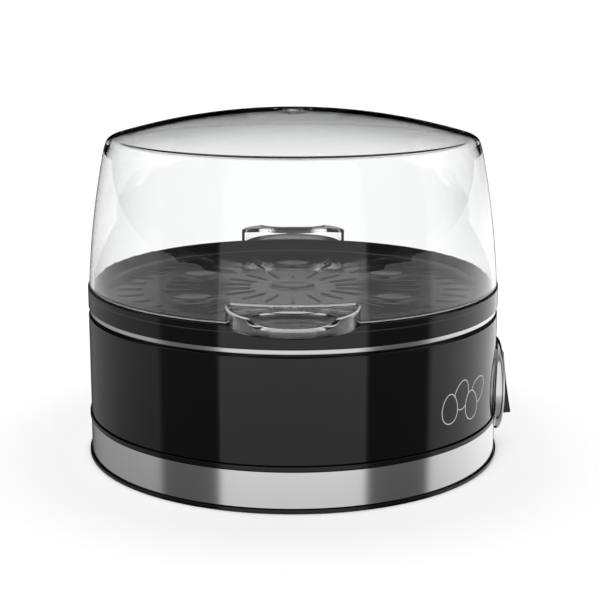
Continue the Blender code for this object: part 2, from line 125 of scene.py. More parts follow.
def turned(name, profile, steps=FINE, closed=True):
    """Turns a profile of (radius, height) points about Z. An open one starts and ends on the axis."""
    shape = bmesh.new()
    rings = []
    for step in range(steps):
        angle = 2 * math.pi * step / steps
        rings.append([
            shape.verts.new((r * math.cos(angle) * MM, r * math.sin(angle) * MM, z * MM))
            for r, z in profile
        ])
    count = len(profile)
    for step in range(steps):
        here, there = rings[step], rings[(step + 1) % steps]
        for low in range(count if closed else count - 1):
            high = (low + 1) % count
            shape.faces.new((here[low], there[low], there[high], here[high]))
    bmesh.ops.remove_doubles(shape, verts=shape.verts, dist=WELD)
    bmesh.ops.recalc_face_normals(shape, faces=shape.faces)
    return add_mesh(name, shape)


def loft(name, sections):
    """A closed mesh through rings of (x, y, z) points, in millimetres, with both ends capped."""
    shape = bmesh.new()
    rings = [[shape.verts.new([value * MM for value in point]) for point in ring] for ring in sections]
    count = len(sections[0])
    for here, there in zip(rings, rings[1:]):
        for step in range(count):
            after = (step + 1) % count
            shape.faces.new((here[step], here[after], there[after], there[step]))
    shape.faces.new(rings[0])
    shape.faces.new(rings[-1])
    bmesh.ops.remove_doubles(shape, verts=shape.verts, dist=WELD)
    bmesh.ops.recalc_face_normals(shape, faces=shape.faces)
    return add_mesh(name, shape)


def prism(name, points, low, high, bevel, segments):
    """An upright solid over an outline of (x, y) points, with its edges rounded where a bevel is given."""
    item = loft(name, [[(x, y, z) for x, y in points] for z in (low, high)])
    if bevel:
        rounding = item.modifiers.new("edges", 'BEVEL')
        rounding.width = bevel * MM
        rounding.segments = segments
        rounding.limit_method = 'ANGLE'
        rounding.angle_limit = SHARP
        apply_modifiers(item)
    return item


def block(name, low, high, bevel=0.0):
    """A box between two corners, with its edges rounded where a bevel is given."""
    points = [(low[0], low[1]), (high[0], low[1]), (high[0], high[1]), (low[0], high[1])]
    return prism(name, points, low[2], high[2], bevel, 3)


def apply_modifiers(item):
    """Turns an object's evaluated mesh into its own mesh."""
    bpy.context.view_layer.update()
    evaluated = item.evaluated_get(bpy.context.evaluated_depsgraph_get())
    item.data = bpy.data.meshes.new_from_object(evaluated)
    item.modifiers.clear()
    return item


def join(item, tool, operation):
    """Applies a Boolean of a tool to a piece and removes the tool."""
    boolean = item.modifiers.new("join", 'BOOLEAN')
    boolean.operation = operation
    boolean.solver = 'MANIFOLD'
    boolean.object = tool
    apply_modifiers(item)
    bpy.data.objects.remove(tool, do_unlink=True)
    return item


def cut(item, *tools):
    """Subtracts each tool from a piece."""
    for tool in tools:
        join(item, tool, 'DIFFERENCE')
    return item


def add(item, *tools):
    """Unites a piece with each tool."""
    for tool in tools:
        join(item, tool, 'UNION')
    return item


def moved(item, location=(0, 0, 0), axis='Z', turn=0.0):
    """Turns a piece made along Z to point along X or Y, spins it about Z, and moves it into place."""
    aim = {
        'X': Matrix.Rotation(math.pi / 2, 4, 'Y'),
        'Y': Matrix.Rotation(-math.pi / 2, 4, 'X'),
        'Z': Matrix.Identity(4),
    }[axis]
    shift = Matrix.Translation([value * MM for value in location])
    item.data.transform(shift @ Matrix.Rotation(turn, 4, 'Z') @ aim)
    return item


def polar(distance, degrees):
    """The x and y of a point at this distance and angle from the axis."""
    angle = math.radians(degrees)
    return distance * math.cos(angle), distance * math.sin(angle)


def rod(name, size, low, high, steps=SMALL):
    """A plain round cutter along Z."""
    return turned(name, [(0, high), (size, high), (size, low), (0, low)], steps, closed=False)


def finished(item, body, slot, finish, *nodes):
    """Gives a piece its shading and material and its body, and hides the CAD nodes that it stands for. The
    slot is not used.
    """
    item.data.materials.clear()
    item.data.materials.append(finish)
    item.data.shade_smooth()
    item.data.set_sharp_from_angle(angle=SHARP)
    weighting = item.modifiers.new("normals", 'WEIGHTED_NORMAL')
    weighting.keep_sharp = True
    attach(item, body)
    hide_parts(*nodes)
    return item


# Materials.

def add_node(tree, kind, inputs=None, **settings):
    """Adds a shader node to a tree. An input is a value, or the output that feeds it."""
    made = tree.nodes.new(kind)
    for key, value in settings.items():
        setattr(made, key, value)
    for key, value in (inputs or {}).items():
        if isinstance(value, bpy.types.NodeSocket):
            tree.links.new(value, made.inputs[key])
        else:
            made.inputs[key].default_value = value
    return made


def add_maths(tree, operation, first, second):
    """The result of one operation on two values."""
    return add_node(tree, 'ShaderNodeMath', {0: first, 1: second}, operation=operation).outputs[0]


def add_range(tree, value, start, end, low, high):
    """Maps a value from one range to another, kept inside it."""
    return add_node(tree, 'ShaderNodeMapRange', {
        'Value': value, 'From Min': start, 'From Max': end, 'To Min': low, 'To Max': high,
    }).outputs['Result']


class Shader:
    """A material under construction: a Principled BSDF and the nodes that feed it."""

    def __init__(self, name, **values):
        self.material = bpy.data.materials.new(name)
        self.material.use_nodes = True
        self.tree = self.material.node_tree
        self.surface = self.tree.nodes["Principled BSDF"]
        for key, value in values.items():
            self.surface.inputs[key.replace("_", " ")].default_value = value

    def node(self, kind, inputs=None, **settings):
        """Adds a node to the material."""
        return add_node(self.tree, kind, inputs, **settings)

    def feed(self, key, output):
        """Links an output to an input of the Principled BSDF."""
        self.tree.links.new(output, self.surface.inputs[key])

    def place(self):
        """Object coordinates, in metres."""
        return self.node('ShaderNodeTexCoord').outputs['Object']

    def split_place(self):
        """Object coordinates as separate x, y and z, in metres."""
        return self.node('ShaderNodeSeparateXYZ', {'Vector': self.place()}).outputs

    def noise(self, scale, detail, vector=None, roughness=0.5):
        """A noise value."""
        made = self.node('ShaderNodeTexNoise', {
            'Vector': vector or self.place(), 'Scale': scale, 'Detail': detail, 'Roughness': roughness,
        })
        return made.outputs['Fac']

    def spread(self, value, low, high, start=0.3, end=0.7):
        """Maps a value to a range, kept inside it. The start and end fit a noise unless others are given."""
        return add_range(self.tree, value, start, end, low, high)

    def mix(self, share, first, second):
        """A colour between two."""
        made = self.node('ShaderNodeMix', data_type='RGBA')
        self.tree.links.new(share, made.inputs[0])
        made.inputs[6].default_value = (*first, 1.0)
        made.inputs[7].default_value = (*second, 1.0)
        return made.outputs[2]

    def bump(self, height, depth):
        """Bumps of a given depth in millimetres, where the height runs from 0 to 1."""
        made = self.node('ShaderNodeBump', {'Height': height, 'Strength': 1.0, 'Distance': depth * MM})
        self.feed('Normal', made.outputs['Normal'])

    def round_body(self, around, up):
        """Coordinates that run round the body's axis and up it, stretched by the two factors."""
        x, y, z = self.split_place()
        swept = add_maths(self.tree, 'MULTIPLY', add_maths(self.tree, 'ARCTAN2', y, x), around)
        raised = add_maths(self.tree, 'MULTIPLY', z, up)
        return self.node('ShaderNodeCombineXYZ', {'X': swept, 'Y': raised}).outputs['Vector']


def gloss_plastic(name, low, high):
    """Gloss black moulding: faint smears in the gloss and a slight waviness."""
    made = Shader(name, Metallic=0.0, IOR=1.46)
    smear = made.noise(28, 5)
    made.feed('Base Color', made.mix(smear, (0.0012, 0.0012, 0.0013), (0.0022, 0.0022, 0.0023)))
    made.feed('Roughness', made.spread(smear, low, high))
    made.bump(made.noise(14, 1), 0.004)
    return made.material


def tray_plastic():
    """Gloss black moulding for the tray, with a painted highlight: the tops of its ribs painted lighter
    grey, unevenly, so that they show as light lines.
    """
    made = Shader("tray_black", Metallic=0.0, IOR=1.46)
    smear = made.noise(28, 5)
    height = made.split_place()[2]
    above_floor = made.spread(height, 0.0, 1.0, (TRAY_FLOOR + 0.1) * MM, (TRAY_FLOOR + 0.5) * MM)
    below_ears = made.spread(height, 1.0, 0.0, (TRAY_FLOOR + 0.7) * MM, (TRAY_FLOOR + 1.0) * MM)
    on_ribs = add_maths(made.tree, 'MULTIPLY', above_floor, below_ears)
    # painted highlight: the ribs' tops lighter grey, made uneven by the noise
    rib_top_highlight = add_maths(made.tree, 'MULTIPLY', on_ribs, made.spread(smear, 0.6, 1.0))
    made.feed('Base Color', made.mix(rib_top_highlight, (0.0016, 0.0016, 0.0017), (0.022, 0.022, 0.023)))
    made.feed('Roughness', made.spread(smear, 0.04, 0.08))
    made.bump(made.noise(14, 1), 0.004)
    return made.material


def satin_plastic():
    """Fine-grained black moulding."""
    made = Shader("black_plastic", Metallic=0.0, IOR=1.47)
    grain = made.noise(2600, 2)
    made.feed('Base Color', made.mix(made.noise(60, 4), (0.0035, 0.0035, 0.0037), (0.006, 0.006, 0.0063)))
    made.feed('Roughness', made.spread(made.noise(90, 5), 0.22, 0.34))
    made.bump(grain, 0.012)
    return made.material


def clear_plastic():
    """Clear moulding with a faint, uneven haze, and painted shade: a little greyer towards the middle of its
    crown, for the dark band seen through it.
    """
    made = Shader("clear_plastic", Metallic=0.0, IOR=1.52, Transmission_Weight=1.0)
    haze = made.noise(22, 4)
    # painted shade: the grey tint grows with height up the crown
    crown = made.spread(made.split_place()[2], 0.0, 1.0, CROWN_SHADE_START * MM, CROWN_SHADE_END * MM)
    made.feed('Base Color', made.mix(crown, (0.99, 0.995, 0.995), (0.68, 0.685, 0.69)))
    made.feed('Roughness', made.spread(haze, 0.0, 0.012))
    return made.material


def brushed_steel():
    """Stainless steel brushed round the body."""
    made = Shader("brushed_steel", Metallic=1.0, Anisotropic=0.3)
    lines = made.noise(1.0, 3, made.round_body(6, 12000), 0.6)
    made.feed('Base Color', made.mix(lines, (0.80, 0.80, 0.80), (0.86, 0.86, 0.86)))
    made.feed('Roughness', made.spread(lines, 0.11, 0.16))
    made.bump(lines, 0.0003)
    tangent = made.node('ShaderNodeTangent', direction_type='RADIAL', axis='Z')
    made.feed('Tangent', tangent.outputs[0])
    return made.material


def polished_steel():
    """Drawn stainless steel, with faint rings from the spinning."""
    made = Shader("polished_steel", Metallic=1.0)
    rings = made.noise(1.0, 2, made.round_body(3, 1500), 0.5)
    made.feed('Base Color', made.mix(rings, (0.70, 0.70, 0.70), (0.80, 0.80, 0.80)))
    made.feed('Roughness', made.spread(rings, 0.18, 0.26))
    return made.material


def satin_silver():
    """Satin plating."""
    made = Shader("satin_silver", Metallic=1.0)
    cloud = made.noise(70, 5)
    made.feed('Base Color', made.mix(cloud, (0.70, 0.70, 0.71), (0.78, 0.78, 0.79)))
    made.feed('Roughness', made.spread(cloud, 0.10, 0.15))
    made.bump(made.noise(3000, 2), 0.001)
    return made.material


def rubber():
    """Matt black rubber with a dusty grain."""
    made = Shader("black_rubber", Metallic=0.0)
    made.feed('Base Color', made.mix(made.noise(150, 5), (0.012, 0.012, 0.012), (0.03, 0.03, 0.03)))
    made.feed('Roughness', made.spread(made.noise(300, 4), 0.65, 0.85))
    made.bump(made.noise(1500, 3), 0.03)
    return made.material


def edge_highlight_finish():
    """Painted highlight on the clear moulding's thin edges: a whitish, half-clear finish that stands in for
    the light that they gather.
    """
    made = Shader("clear_edge_painted_highlight", Metallic=0.0, IOR=1.52, Transmission_Weight=0.55)
    haze = made.noise(120, 4)
    made.feed('Base Color', made.mix(haze, (0.80, 0.82, 0.82), (0.92, 0.93, 0.93)))
    made.feed('Roughness', made.spread(haze, 0.12, 0.3))
    return made.material


def ink():
    """Light-grey printing ink, slightly uneven."""
    made = Shader("grey_ink", Metallic=0.0)
    made.feed('Base Color', made.mix(made.noise(500, 4), (0.42, 0.42, 0.42), (0.55, 0.55, 0.55)))
    made.feed('Roughness', made.spread(made.noise(900, 3), 0.3, 0.5))
    return made.material


def cast_aluminium():
    """Die-cast aluminium, dull and grainy."""
    made = Shader("cast_aluminium", Metallic=1.0)
    cloud = made.noise(200, 5)
    made.feed('Base Color', made.mix(cloud, (0.48, 0.48, 0.49), (0.60, 0.60, 0.61)))
    made.feed('Roughness', made.spread(cloud, 0.42, 0.6))
    made.bump(made.noise(1800, 3), 0.02)
    return made.material


def brass():
    """Plain brass, a little tarnished."""
    made = Shader("brass", Metallic=1.0)
    tarnish = made.noise(260, 5)
    made.feed('Base Color', made.mix(tarnish, (0.62, 0.45, 0.19), (0.78, 0.60, 0.30)))
    made.feed('Roughness', made.spread(tarnish, 0.22, 0.42))
    return made.material


def soft_moulding(name, dark, light, low, high):
    """A matt, non-metal material with a cloudy colour and a fine grain."""
    made = Shader(name, Metallic=0.0)
    cloud = made.noise(180, 5)
    made.feed('Base Color', made.mix(cloud, dark, light))
    made.feed('Roughness', made.spread(made.noise(320, 4), low, high))
    made.bump(made.noise(2000, 2), 0.01)
    return made.material


def red_silicone():
    """The seal's red-brown silicone."""
    return soft_moulding("red_silicone", (0.30, 0.035, 0.02), (0.38, 0.05, 0.03), 0.45, 0.6)


def white_ceramic():
    """Unglazed white ceramic."""
    return soft_moulding("white_ceramic", (0.66, 0.65, 0.61), (0.78, 0.77, 0.74), 0.55, 0.75)


def white_sleeve():
    """Woven glass sleeving."""
    return soft_moulding("white_sleeve", (0.62, 0.61, 0.58), (0.74, 0.73, 0.70), 0.6, 0.8)


GLOSS = gloss_plastic("gloss_black", 0.02, 0.06)
GLOSS_TRIM = gloss_plastic("gloss_trim", 0.10, 0.16)
TRAY_BLACK = tray_plastic()
BLACK = satin_plastic()
CLEAR = clear_plastic()
STEEL = brushed_steel()
POLISHED = polished_steel()
SATIN = satin_silver()
RUBBER = rubber()
EDGE_HIGHLIGHT = edge_highlight_finish()
INK = ink()
FINISHES = {
    "gloss_black": GLOSS,
    "black_plastic": BLACK,
    "clear_plastic": CLEAR,
    "brushed_steel": STEEL,
    "polished_steel": POLISHED,
    "satin_silver": SATIN,
    "cast_aluminium": cast_aluminium(),
    "black_rubber": RUBBER,
    "red_silicone": red_silicone(),
    "white_ceramic": white_ceramic(),
    "brass": brass(),
    "white_sleeve": white_sleeve(),
}


# Lid.

GRIP_Y = 89.0             # centre of the grips' and ears' circles, in front of and behind the axis
GRIP_R = 27.4
GRIP_WALL = 1.7
GRIP_EDGE = 0.7           # rounding of the plate's edge
GRIP_PLATE = (90.0, 87.6)  # the grip's plate leaves the lid's wall at this y and z,
GRIP_FALL = 0.045         # and falls by this much for each millimetre outwards
FILLET = 0.9
FILLET_REACH = 15.6       # degrees that the fillet runs to either side of the grip's middle
SCOOP_Y = 111.0
SCOOP_HALF = (17.2, 11.0)
SCOOP_DEPTH = 2.5
SCOOP_TOP = 95.0          # the cutter's top, clear above the plate
LID_WALL = 2.0
LID_LEAN = 0.056          # the wall leans in by this much for each millimetre of height,
LID_BOW = 0.00126         # and by this much for its square
LID_SHOULDER = 146.8
DOME_R = 293.0
VENT_R = 2.5
VENT_DISH_R = 7.5


def lid_wall(z, inset=0.0):
    """The radius of the lid's wall at a height."""
    height = z - heights("lid")[0]
    return radius("lid") - LID_LEAN * height - LID_BOW * height * height - inset


def lid_crown(distance, inset):
    """The height of the lid's domed top at a distance from the axis."""
    size = DOME_R - inset
    return heights("lid")[1] - inset - size + math.sqrt(size * size - distance * distance)


def lid_side(inset, bottom, start, rounding):
    """One side of the lid's shell, from near the axis out over the shoulder and down to an edge."""
    edge = lid_wall(LID_SHOULDER, inset) - 0.4
    crown_end = edge - 5.0
    wall_top = LID_SHOULDER - 6.0
    reach = [start + (crown_end - start) * step / 40 for step in range(41)] + [edge]
    crown = [(r, lid_crown(r, inset)) for r in reach]
    wall_heights = [wall_top + (bottom - wall_top) * step / 30 for step in range(31)]
    wall = [(lid_wall(z, inset), z) for z in wall_heights]
    corner = [(*crown[-2], 0), (*crown[-1], rounding), (*wall[0], 0)]
    return crown[:-1] + outline(corner, 12)[1:-1] + wall


def lid_shell():
    """The lid without its grips: a dome with a dished vent, the wall, and a rounded open edge."""
    low, top = heights("lid")
    rim = VENT_DISH_R + 0.6
    outside = lid_side(0.0, low + 0.8, rim, 4.4)
    inside = lid_side(LID_WALL, low + 0.8, rim, 2.6)
    dish = [(VENT_R, top - 1.0), (VENT_R + 0.3, top - 0.7), (VENT_R + 1.0, top - 0.6),
            (VENT_R + 1.8, top - 1.0), (VENT_DISH_R - 1.2, top - 1.0), (VENT_DISH_R - 0.4, top - 0.5),
            (VENT_DISH_R, top - 0.16)]
    under = [(r, z - LID_WALL) for r, z in reversed(dish)]
    outer, inner = outside[-1][0], inside[-1][0]
    foot = [(outer, low + 0.5), (outer - 0.2, low + 0.15), (outer - 0.6, low), (inner + 0.6, low),
            (inner + 0.2, low + 0.15), (inner, low + 0.5)]
    return turned("clear_lid", dish + outside + foot + list(reversed(inside)) + under)


def lid_core():
    """The room inside the lid, which the grips' inner halves are cut back to."""
    low = heights("lid")[0]
    bottom, tall = low - 4, 30
    wall_heights = [bottom + tall * step / 10 for step in range(11)]
    wall = [(lid_wall(max(z, low), LID_WALL), z) for z in wall_heights]
    return turned("core", [(0, bottom)] + wall + [(0, bottom + tall)], closed=False)


def plate_z(y):
    """The height of a grip's plate."""
    start_y, start_z = GRIP_PLATE
    return start_z - GRIP_FALL * (y - start_y)


def grip_circle(size):
    """The x and y of points round a grip's centre."""
    steps = 160
    circle = [polar(size, 360 * step / steps) for step in range(steps)]
    return [(x, GRIP_Y + y) for x, y in circle]


def grip_disc(name, size, drop, bottom, rounding):
    """A round solid about the grip's centre, with the plate's sloping top and a rounded edge."""
    foot = [(0.3, bottom), (0.0, bottom + 0.3)] if rounding else [(0.0, bottom)]
    sections = [[(x, y, z) for x, y in grip_circle(size - inset)] for inset, z in foot]
    for step in range(6):
        angle = math.pi / 2 * step / 5
        inset = rounding * (1 - math.cos(angle))
        below = rounding * (1 - math.sin(angle))
        sections.append([(x, y, plate_z(y) - drop - below) for x, y in grip_circle(size - inset)])
    return loft(name, sections)


def scoop(name, growth, drop):
    """The solid that presses the finger scoop into a grip: a flat-bottomed oval dish."""
    steps = 120
    flare = 1.06
    sections = []
    for share in [step / 14 for step in range(1, 15)] + [flare]:
        ring = []
        for step in range(steps):
            x, y = polar(share, 360 * step / steps)
            x, y = x * (SCOOP_HALF[0] + growth), SCOOP_Y + y * (SCOOP_HALF[1] + growth)
            z = plate_z(y) - drop - SCOOP_DEPTH * (1 - share ** 8)
            ring.append((x, y, z))
        sections.append(ring)
    sections.append([(x, y, SCOOP_TOP) for x, y, _ in sections[-1]])
    return loft(name, sections)


def grip_fillet():
    """The small fillet between a grip's plate and the lid's wall."""
    root = 0.6
    wall = lid_wall(GRIP_PLATE[1])
    sections = []
    for step in range(41):
        degrees = 90 + FILLET_REACH * (step / 20 - 1)
        section = [(wall - root, -root), (wall + FILLET, -root), (wall + FILLET, 0.0)]
        for turn in range(1, 6):
            angle = math.pi / 2 * turn / 6
            section.append((wall + FILLET * (1 - math.sin(angle)), FILLET * (1 - math.cos(angle))))
        section += [(wall, FILLET), (wall - root, FILLET)]
        ring = []
        for distance, height in section:
            x, y = polar(distance, degrees)
            ring.append((x, y, plate_z(y) + height))
        sections.append(ring)
    return loft("fillet", sections)


def has_painted_highlight(centre):
    """Whether a point of the lid lies on one of the thin edges that get the painted highlight: its foot and
    the grips' rims.
    """
    x, y, z = abs(centre.x / MM), abs(centre.y / MM), centre.z / MM
    distance = math.hypot(x, y)
    above_plate = z - plate_z(y)
    past_wall = distance - lid_wall(z)
    inside_rim = GRIP_R - math.hypot(x, y - GRIP_Y)
    on_foot = z < heights("lid")[0] + 0.5 and distance < radius("lid") + 0.1
    near_plate = -0.6 < above_plate < 1.0
    on_fillet = 0.05 < past_wall < 0.4 and above_plate > 0.1
    on_rim = past_wall > 0 and 0.08 < inside_rim < 0.4
    return on_foot or (near_plate and (on_fillet or on_rim))


def make_lid():
    """The clear lid: a domed shell with a vent, and two hollow grips with finger scoops."""
    lid = lid_shell()
    low = heights("lid")[0]
    for turn in (0.0, math.pi):
        grip = cut(grip_disc("grip", GRIP_R, 0.0, low, GRIP_EDGE), scoop("scoop", 0.0, 0.0))
        add(lid, moved(add(grip, grip_fillet()), turn=turn))
    cut(lid, lid_core())
    for turn in (0.0, math.pi):
        hollow = grip_disc("hollow", GRIP_R - GRIP_WALL, GRIP_WALL, low - 4, 0.0)
        cut(hollow, scoop("scoop_room", GRIP_WALL, GRIP_WALL))
        cut(lid, moved(hollow, turn=turn))
    finished(lid, "lid", "clear_plastic", CLEAR, "lid")
    # painted highlight: the lid's thin edges get the whitish edge finish
    lid.data.materials.append(EDGE_HIGHLIGHT)
    for face in lid.data.polygons:
        face.material_index = int(has_painted_highlight(face.center))


# Tray.

EAR_R = 25.3
EAR_HEIGHTS = (79.0, 81.0)
TRAY_LEDGE = 79.5         # the lid's edge stands on it
TRAY_SHEET = 2.0
SEAT_RING_R = 52.0
SEAT_R = 10.0
SEAT_DEPTH = 1.3
STEAM_HOLE_R = 1.8
SMALL_HOLE_R = 1.3
SEATS = [(0.0, 0.0)] + [polar(SEAT_RING_R, 30 + 60 * step) for step in range(6)]


def rib(start, end, degrees):
    """A rounded bar on the tray's floor along a radius, between two distances from the axis."""
    half = 0.65
    sections = []
    for inset, rise in ((0.0, -0.2), (0.0, 0.2), (0.15, 0.5), (0.45, 0.65)):
        ring = []
        for centre, first in ((end - half, -90), (start + half, 90)):
            for step in range(7):
                x, y = polar(half - inset, first + 30 * step)
                ring.append((centre + x, y, TRAY_FLOOR + rise))
        sections.append(ring)
    return moved(loft("rib", sections), turn=math.radians(degrees))


def slanted_rib(start, end):
    """A rib between two points of the tray's floor."""
    (ax, ay), (bx, by) = start, end
    made = rib(0, math.hypot(bx - ax, by - ay), 0)
    return moved(made, (ax, ay, 0), turn=math.atan2(by - ay, bx - ax))


def merged(name, items):
    """Joins separate solids that don't touch into one object."""
    shape = bmesh.new()
    for item in items:
        shape.from_mesh(item.data)
        bpy.data.objects.remove(item, do_unlink=True)
    return add_mesh(name, shape)


def tray_body():
    """The tray's floor, upstand, ledge and skirt, without its details."""
    low, lip = heights("egg_tray")
    under = TRAY_FLOOR - TRAY_SHEET
    groove = heights("heating_bowl")[1] + 0.3
    return turned("tray", outline([
        (0, TRAY_FLOOR, 0), (89.0, TRAY_FLOOR, 3.0), (90.2, lip, 0.5), (91.6, lip, 0.5),
        (91.6, TRAY_LEDGE, 0.2), (95.0, TRAY_LEDGE, 0.5), (95.0, low, 0.3), (93.2, low, 0.3),
        (93.2, groove, 0.2), (90.9, groove, 0.2), (90.9, low, 0.3), (89.4, low, 0.3),
        (89.4, under, 0.5), (0, under, 0),
    ]), closed=False)


def tray_ear(turn):
    """One of the two round ears that stick out over the ledge."""
    bottom, top = EAR_HEIGHTS
    ear = turned("ear", outline([
        (0, top, 0), (EAR_R, top, 0.6), (EAR_R, bottom, 0.6), (0, bottom, 0),
    ]), 160, closed=False)
    inside_lip = rod("ear_limit", 90.6, bottom - 2, top + 3, FINE)
    return moved(cut(moved(ear, (0, GRIP_Y, 0)), inside_lip), turn=turn)


def seat_bead(x, y):
    """The low bead round a seat."""
    bead = turned("bead", [
        (SEAT_R, TRAY_FLOOR - 0.5), (SEAT_R, TRAY_FLOOR + 0.15), (SEAT_R + 0.3, TRAY_FLOOR + 0.25),
        (SEAT_R + 0.7, TRAY_FLOOR + 0.2), (SEAT_R + 1.1, TRAY_FLOOR), (SEAT_R + 1.1, TRAY_FLOOR - 0.5),
    ], 96)
    return moved(bead, (x, y, 0))


def seat_dish(x, y):
    """The cutter for the hollow of a seat."""
    bottom = TRAY_FLOOR - SEAT_DEPTH
    clear = TRAY_FLOOR + 2
    hollow = [
        (SEAT_R * step / 8, TRAY_FLOOR - SEAT_DEPTH * (1 - (step / 8) ** 2)) for step in range(1, 9)
    ]
    dish = turned("dish", [(0, bottom)] + hollow + [(SEAT_R, clear), (0, clear)], 96, closed=False)
    return moved(dish, (x, y, 0))


def tray_ribs():
    """Ribs round the centre seat, along the edge, in fans between the seats, and slanted ones."""
    ribs = [rib(20, 35, 20 * step + 10) for step in range(18)]
    ribs += [rib(70, 82, 10 * step + 5) for step in range(36)]
    ribs += [rib(43, 60, 60 * step + lean) for step in range(6) for lean in (-11, 0, 11)]
    for x, y in ((1, 1), (-1, 1), (1, -1), (-1, -1)):
        for (ax, ay), (bx, by) in (((16, 54), (21, 70)), ((28, 45), (36, 56)), ((46, 64), (50, 68))):
            ribs.append(slanted_rib((ax * x, ay * y), (bx * x, by * y)))
    return ribs


def tray_holes():
    """Cutters for a steam hole in each seat, and for the small holes between the seats."""
    through = (70, 80)
    places = [polar(84.5, 90 + 9 * step + turn) for step in range(-2, 3) for turn in (0, 180)]
    places += [(-7, 70), (-14, 51), (-8, -70), (14, -50)]
    holes = [moved(rod("hole", STEAM_HOLE_R, *through, 24), (x, y, 0)) for x, y in SEATS]
    holes += [moved(rod("hole", SMALL_HOLE_R, *through, 20), (x, y, 0)) for x, y in places]
    return holes


def make_tray():
    """The egg tray: its body and two ears, with beads, ribs, seats and steam holes."""
    tray = tray_body()
    add(tray, merged("ears", [tray_ear(turn) for turn in (0.0, math.pi)]))
    add(tray, merged("ribs", [seat_bead(x, y) for x, y in SEATS] + tray_ribs()))
    cut(tray, merged("dishes", [seat_dish(x, y) for x, y in SEATS]))
    cut(tray, merged("holes", tray_holes()))
    finished(tray, "tray", "gloss_black", TRAY_BLACK, "egg_tray")


# Base.

BOSS_R = 89.5             # the screws' distance from the axis
BOSS_ANGLES = (60, 120, 240, 300)
BOSS_SIZE = 4.5
PILOT_SIZE = 1.8
COVER_UNDER = 2.5         # the height of the bottom plate's underside
SLOT_PITCH = 10.0
COLLAR_HALF = (10.0, 18.6)  # the switch's collar, half its width and half its height
COLLAR_GAP = 0.3
ROCKER_PIVOT = Vector((89.0, 0.0, 29.5))
ROCKER_TILT = math.radians(-10.0)


def switch_opening(name):
    """The opening in the body for the switch's collar."""
    centre = middle("switch_bezel").z
    across, up = COLLAR_HALF[0] + COLLAR_GAP, COLLAR_HALF[1] + COLLAR_GAP
    return block(name, (80, -across, centre - up), (105, across, centre + up))


def make_cover():
    """The bottom plate with the foot ring, its screw holes, cooling slots and a blank label panel."""
    low, high = heights("bottom_cover")
    outer = radius("bottom_cover")
    under, foot_top = COVER_UNDER, 1.8
    cover = turned("base_plate", outline([
        (0, high, 0), (94.0, high, 0), (94.0, foot_top, 0), (outer, foot_top, 0.3), (outer, low, 0.3),
        (93.4, low, 0.2), (93.4, under, 0), (72, under, 0), (71.5, under + 0.4, 0), (66, under + 0.4, 0),
        (65.5, under, 0), (0, under, 0),
    ]), closed=False)
    places = [SLOT_PITCH * (step - 2) for step in range(5)]
    slots = [block("slot", (x - 1.5, -52, 0), (x + 1.5, -36, 8), 1.2) for x in places]
    panel = block("panel", (-26, 32, 0), (26, 50, under + 0.5), 0.8)
    holes = [moved(rod("screw_hole", 2.1, 0, 8, 32), (*polar(BOSS_R, angle), 0)) for angle in BOSS_ANGLES]
    cut(cover, merged("cuts", slots + [panel] + holes))
    finished(cover, "base", "black_plastic", GLOSS_TRIM, "bottom_cover")


def make_pads():
    """The rubber pads, each with a rounded edge and a shallow ring."""
    for node in ("centre_foot_pad", "foot_pad_1", "foot_pad_2", "foot_pad_3", "foot_pad_4"):
        low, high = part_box(node)
        size = (high.x - low.x) / 2 / MM
        centre = middle(node)
        top = high.z / MM
        pad = turned("rubber_" + node, outline([
            (0, top, 0), (size, top, 0.3), (size, 0, 0.7), (size * 0.8, 0, 0), (size * 0.75, 0.5, 0),
            (size * 0.6, 0.5, 0), (size * 0.55, 0, 0), (0, 0, 0),
        ]), SMALL, closed=False)
        finished(moved(pad, (centre.x, centre.y, 0)), "base", "black_rubber", RUBBER, node)


def make_screws():
    """The pan-head screws with a cross recess."""
    for number, angle in enumerate(BOSS_ANGLES, 1):
        node = f"bottom_screw_{number}"
        low, high = heights(node)
        screw = turned("screw_" + str(number), outline([
            (0, high, 0), (1.0, high, 0), (1.5, high - 1, 0), (1.5, 2.2, 0), (3.5, 2.2, 0.2),
            (3.5, 1.3, 0.5), (2.6, low, 0.4), (0, low, 0),
        ]), 48, closed=False)
        for turn in (0.0, math.pi / 2):
            cut(screw, moved(block("cross", (-1.9, -0.35, 0), (1.9, 0.35, 1.5)), turn=turn))
        finished(moved(screw, (*polar(BOSS_R, angle), 0)), "base", "satin_silver", SATIN, node)


def make_steel_band():
    """The brushed band, notched for the switch."""
    low, high = heights("steel_band")
    outer = radius("steel_band")
    band = turned("brushed_band", outline([
        (outer - 0.5, high, 0), (outer, high, 0.15), (outer, low, 0.15), (outer - 0.5, low, 0),
    ]))
    cut(band, switch_opening("notch"))
    finished(band, "base", "brushed_steel", STEEL, "steel_band")


def make_trim_ring():
    """The black ring above the band."""
    low, high = heights("trim_ring")
    outer = radius("trim_ring")
    ring = turned("trim", outline([
        (outer - 1.0, high, 0), (outer, high, 0.3), (outer, low, 0.3), (outer - 1.0, low, 0),
    ]))
    cut(ring, switch_opening("gap"))
    finished(ring, "base", "black_plastic", GLOSS_TRIM, "trim_ring")


